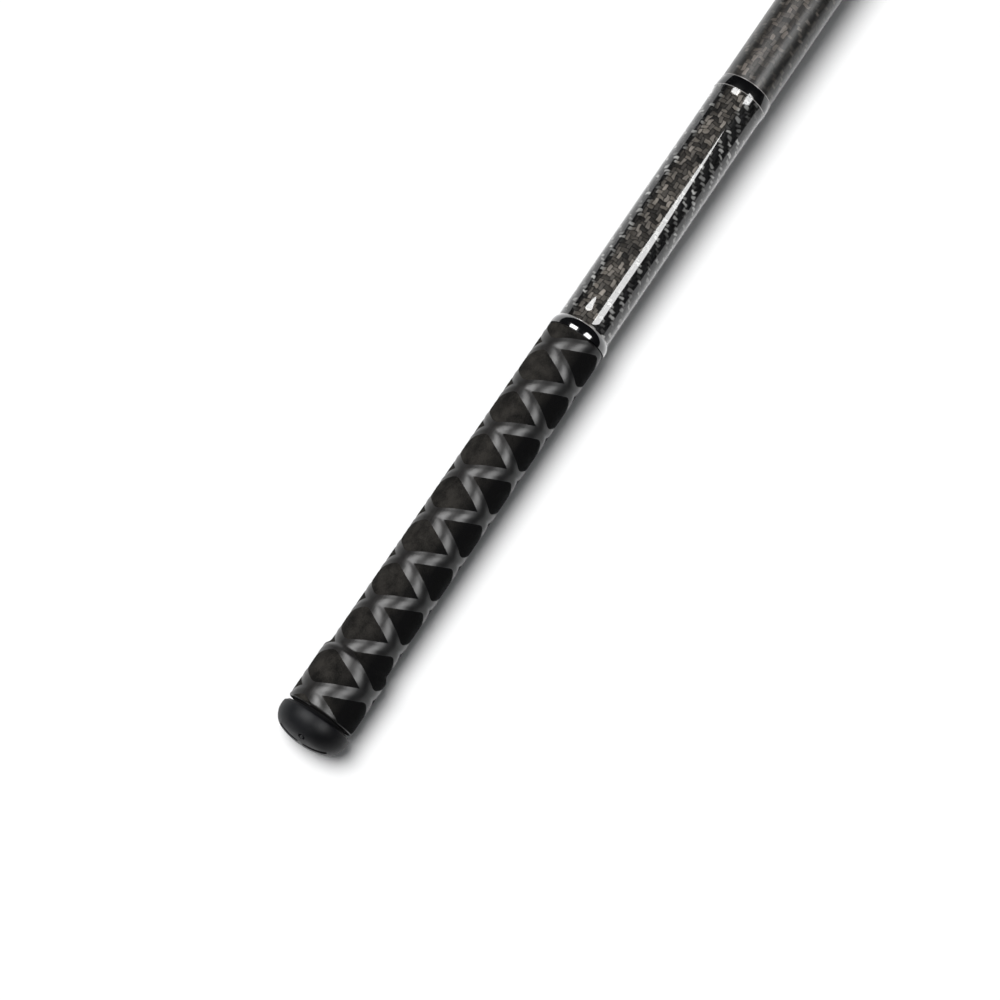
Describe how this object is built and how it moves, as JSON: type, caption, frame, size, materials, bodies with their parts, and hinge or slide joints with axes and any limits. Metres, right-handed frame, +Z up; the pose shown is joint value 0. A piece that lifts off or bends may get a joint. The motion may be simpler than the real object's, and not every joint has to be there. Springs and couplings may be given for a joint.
{
  "type": "curling broom",
  "caption": "Curling broom: carbon-fibre shaft with a lattice anti-slip grip, rubber end cap and clear film band, on a two-way swivel head with a fabric-covered foam pad.",
  "frame": {"origin": "centre of the pad's sole, the face that rubs the ice", "axes": "+X along the length, from the head towards the grip; +Y along the head; +Z up, square to the sole"},
  "size_m": [1.1986, 0.2, 0.0627],
  "materials": {
    "carbon": "satin carbon-fibre twill",
    "film": "clear gloss film",
    "black_gloss": "black gloss",
    "grip_lattice": "satin black heat-shrink",
    "grip_pad": "matte foam-like rubber",
    "tape": "woven tape",
    "cap": "satin moulded rubber",
    "ferrule": "moulded nylon, fine grain",
    "block": "moulded nylon",
    "bush": "natural nylon",
    "bung": "moulded nylon",
    "steel": "zinc-plated steel",
    "brass": "knurled brass",
    "shell": "moulded nylon, fine grain",
    "plate": "rigid plastic sheet",
    "foam": "closed-cell foam",
    "cover": "woven waterproof nylon, mustard yellow"
  },
  "bodies": {
    "head": {"head_shell": "shell", "head_pivot_washers": "steel", "head_pivot_bolt": "steel", "head_pivot_nut": "steel", "pad_plate": "plate", "pad_inserts": "brass", "pad_foam": "foam", "pad_cover": "cover", "pad_screws": "steel"},
    "swivel": {"swivel_block": "block", "head_pivot_bushes": "bush", "cross_pivot_bushes": "bush"},
    "handle": {"shaft_tube": "carbon", "end_cap": "cap", "grip_underwrap": "tape", "grip_end_wrap": "tape", "grip_pads": "grip_pad", "grip_sleeve": "grip_lattice", "lower_ring": "black_gloss", "clear_film": "film", "upper_ring": "black_gloss", "ferrule": "ferrule", "shaft_bung": "bung", "ferrule_screws": "steel", "cross_washer": "steel", "cross_bolt": "steel", "cross_nut": "steel"}
  },
  "joints": [
    {"name": "head_tilt", "type": "hinge", "parent": "head", "child": "swivel", "pos_m": [0, 0, 0.048], "axis": [0, -1, 0], "range_deg": [0, 183.12]},
    {"name": "head_turn", "type": "hinge", "parent": "swivel", "child": "handle", "pos_m": [0.02799, 0, 0.04724], "axis": [0.0272, 0, 0.9996], "range_deg": [-90, 90]}
  ]
}
